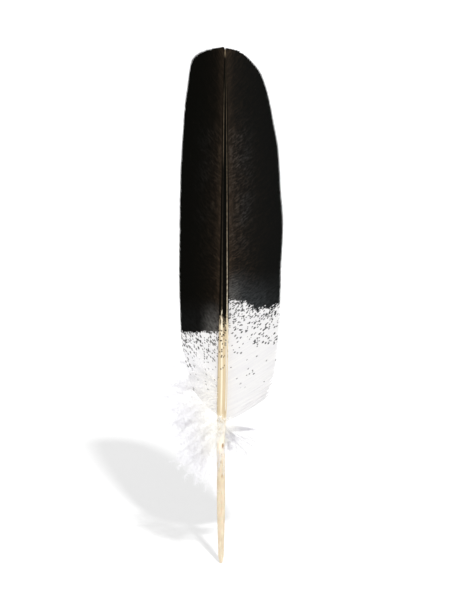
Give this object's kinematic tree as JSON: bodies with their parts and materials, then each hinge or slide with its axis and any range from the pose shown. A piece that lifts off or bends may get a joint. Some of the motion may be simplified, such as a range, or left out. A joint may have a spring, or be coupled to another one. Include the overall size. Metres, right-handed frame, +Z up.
{
  "type": "quill pen",
  "caption": "Feather quill pen standing on its nib: painted narrow and wide vanes, grooved shaft, down tufts and a hollow horn barrel cut to a split nib.",
  "frame": {"origin": "the nib's point, where the pen touches the paper", "axes": "+Z up the feather from nib to tip, +X towards the wide vane, -Y the grooved side of the shaft; the scoop of the nib is on the +Y side"},
  "size_m": [0.0646, 0.0174, 0.3053],
  "materials": {
    "horn": "satin translucent horn",
    "shaft_horn": "satin horn, black where painted",
    "pith": "white foam",
    "pulp": "dry translucent skin",
    "plug": "dry brown",
    "bare_vane": "soft white barbs",
    "painted_vane": "black paint on barbs, faint sheen",
    "down": "fluffy white down"
  },
  "bodies": {
    "quill": {"afterfeather": "down", "barrel": "horn", "left_down": "down", "left_vane_web_1": "bare_vane", "left_vane_web_2": "painted_vane", "left_vane_web_3": "painted_vane", "left_vane_web_4": "painted_vane", "left_vane_web_5": "painted_vane", "pulp_caps": "pulp", "right_down": "down", "right_vane_web_1": "bare_vane", "right_vane_web_2": "painted_vane", "right_vane_web_3": "painted_vane", "right_vane_web_4": "painted_vane", "right_vane_web_5": "painted_vane", "shaft_cortex": "shaft_horn", "shaft_pith": "pith", "umbilicus_plug": "plug"},
    "left_tine": {"nib_tine_left": "horn"},
    "right_tine": {"nib_tine_right": "horn"}
  },
  "joints": [
    {"name": "left_tine_flex", "type": "hinge", "parent": "quill", "child": "left_tine", "pos_m": [-0.00044, -0.00164, 0.01296], "axis": [-0.9659, 0.2588, 0], "range_deg": [0, 4], "stiffness_Nm_per_rad": 0.05},
    {"name": "right_tine_flex", "type": "hinge", "parent": "quill", "child": "right_tine", "pos_m": [0.00044, -0.00164, 0.01296], "axis": [-0.9659, -0.2588, 0], "range_deg": [0, 4], "stiffness_Nm_per_rad": 0.05}
  ]
}
